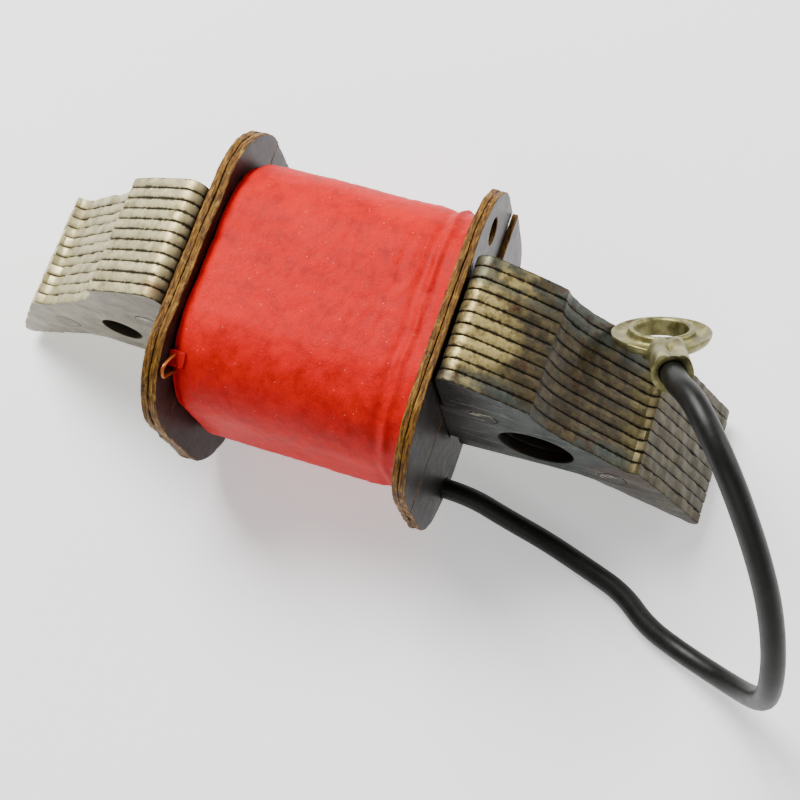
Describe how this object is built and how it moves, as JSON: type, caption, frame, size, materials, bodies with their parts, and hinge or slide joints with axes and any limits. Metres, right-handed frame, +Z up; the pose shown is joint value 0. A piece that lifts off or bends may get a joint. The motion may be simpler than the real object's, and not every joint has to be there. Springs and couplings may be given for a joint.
{
  "type": "ignition coil",
  "caption": "Flywheel magneto ignition coil: taped winding between fibre cheeks on a curved laminated steel core, with a black lead ending in a crimped ring terminal",
  "frame": {"origin": "on the resting plane through the bottom edges of the fibre cheeks, below the middle of the core and of the lamination stack", "axes": "+X along the core from the arm with the small hole to the arm with the large hole, +Y through the lamination stack from the front plate to the back plate, +Z up towards the flywheel arc"},
  "size_m": [0.0778, 0.0347, 0.0294],
  "materials": {
    "core_steel": "satin",
    "rivet_steel": "satin",
    "pressboard": "matte",
    "magnet_wire": "gloss",
    "insulation_paper": "matte",
    "tape_red": "satin",
    "tape_red_flap": "satin",
    "solder": "satin",
    "fibre_board": "matte",
    "lead_pvc": "satin",
    "sleeve_varnished": "matte",
    "strand_copper": "satin",
    "terminal_tin": "satin"
  },
  "bodies": {
    "root": {"lamination_01": "core_steel", "lamination_02": "core_steel", "lamination_03": "core_steel", "lamination_04": "core_steel", "lamination_05": "core_steel", "lamination_06": "core_steel", "lamination_07": "core_steel", "lamination_08": "core_steel", "lamination_09": "core_steel", "lamination_10": "core_steel", "lamination_11": "core_steel", "core_rivets": "rivet_steel", "core_insulation": "pressboard", "copper_winding": "magnet_wire", "winding_paper": "insulation_paper", "tape_wrap": "tape_red", "tape_end_flap": "tape_red_flap", "start_wire": "magnet_wire", "earth_solder": "solder", "left_cheek_full_board": "fibre_board", "left_cheek_upper_half": "fibre_board", "left_cheek_lower_half": "fibre_board", "right_cheek_full_board": "fibre_board", "right_cheek_upper_half": "fibre_board", "right_cheek_lower_half": "fibre_board", "lead_inner_stub": "lead_pvc", "lead_solder_joint": "solder", "finish_wire": "magnet_wire", "joint_sleeve": "sleeve_varnished", "lead_wire": "lead_pvc", "lead_conductor": "strand_copper", "ring_terminal": "terminal_tin"}
  },
  "joints": []
}
